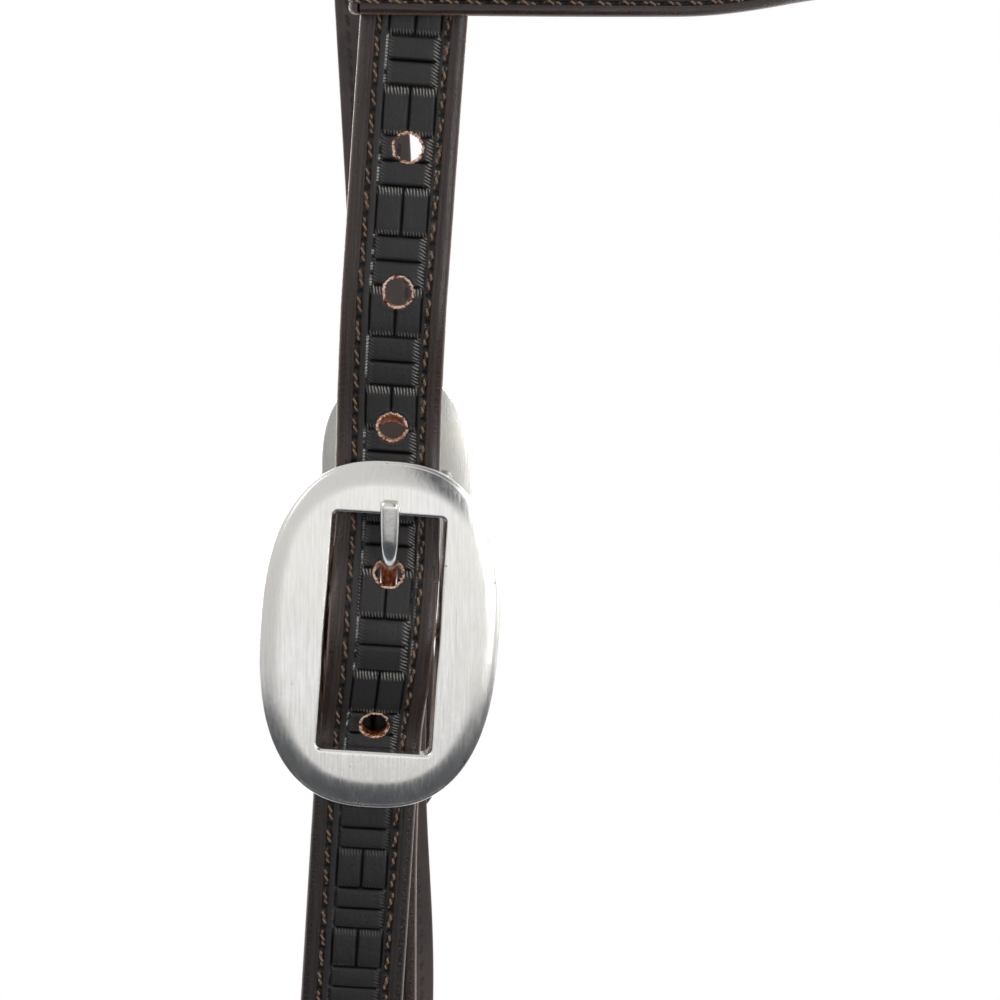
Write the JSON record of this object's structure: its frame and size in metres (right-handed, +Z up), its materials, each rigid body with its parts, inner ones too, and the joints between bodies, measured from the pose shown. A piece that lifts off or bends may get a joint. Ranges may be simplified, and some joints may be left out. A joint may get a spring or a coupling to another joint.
{
  "type": "western headstall",
  "caption": "Browband headstall of doubled, tooled dark leather with oval centre-bar cheek buckles and screwed bit loops.",
  "frame": {"origin": "middle of the flat underside of the crown, where it rests on the poll", "axes": "+X towards the horse's nose (the browband's side), +Y towards the far side, +Z up; the cheeks hang down -Z"},
  "size_m": [0.1354, 0.26, 0.5207],
  "materials": {
    "tooled_leather": "dark oiled bridle leather, basketweave tooled and double stitched, burnished edges",
    "lining_leather": "smooth dark brown lining leather",
    "brushed_steel": "satin brushed stainless steel",
    "bright_steel": "polished stainless steel"
  },
  "bodies": {
    "crown": {"crown_outer": "tooled_leather", "crown_lining": "lining_leather", "near_buckle_frame": "brushed_steel", "far_buckle_frame": "brushed_steel"},
    "browband": {"browband_outer": "tooled_leather", "browband_lining": "lining_leather"},
    "near_tongue": {"near_tongue": "bright_steel"},
    "near_cheek": {"near_cheek_outer": "tooled_leather", "near_cheek_lining": "lining_leather", "near_bit_post_upper": "bright_steel", "near_bit_post_lower": "bright_steel", "near_bit_screw_upper": "bright_steel", "near_bit_screw_lower": "bright_steel"},
    "far_tongue": {"far_tongue": "bright_steel"},
    "far_cheek": {"far_cheek_outer": "tooled_leather", "far_cheek_lining": "lining_leather", "far_bit_post_upper": "bright_steel", "far_bit_post_lower": "bright_steel", "far_bit_screw_upper": "bright_steel", "far_bit_screw_lower": "bright_steel"}
  },
  "joints": [
    {"name": "browband_slide", "type": "slide", "parent": "crown", "child": "browband", "axis": [0, 0, 1], "range_m": [-0.008, 0.006]},
    {"name": "near_cheek_swing", "type": "hinge", "parent": "crown", "child": "near_cheek", "pos_m": [0, -0.119, -0.275], "axis": [0.9982, 0, -0.0598], "range_deg": [0, 20]},
    {"name": "near_tongue_lift", "type": "hinge", "parent": "crown", "child": "near_tongue", "pos_m": [0, -0.119, -0.275], "axis": [0.9982, 0, -0.0598], "range_deg": [0, 3]},
    {"name": "far_cheek_swing", "type": "hinge", "parent": "crown", "child": "far_cheek", "pos_m": [0, 0.119, -0.275], "axis": [-0.9982, 0, -0.0598], "range_deg": [0, 20]},
    {"name": "far_tongue_lift", "type": "hinge", "parent": "crown", "child": "far_tongue", "pos_m": [0, 0.119, -0.275], "axis": [-0.9982, 0, -0.0598], "range_deg": [0, 3]}
  ]
}
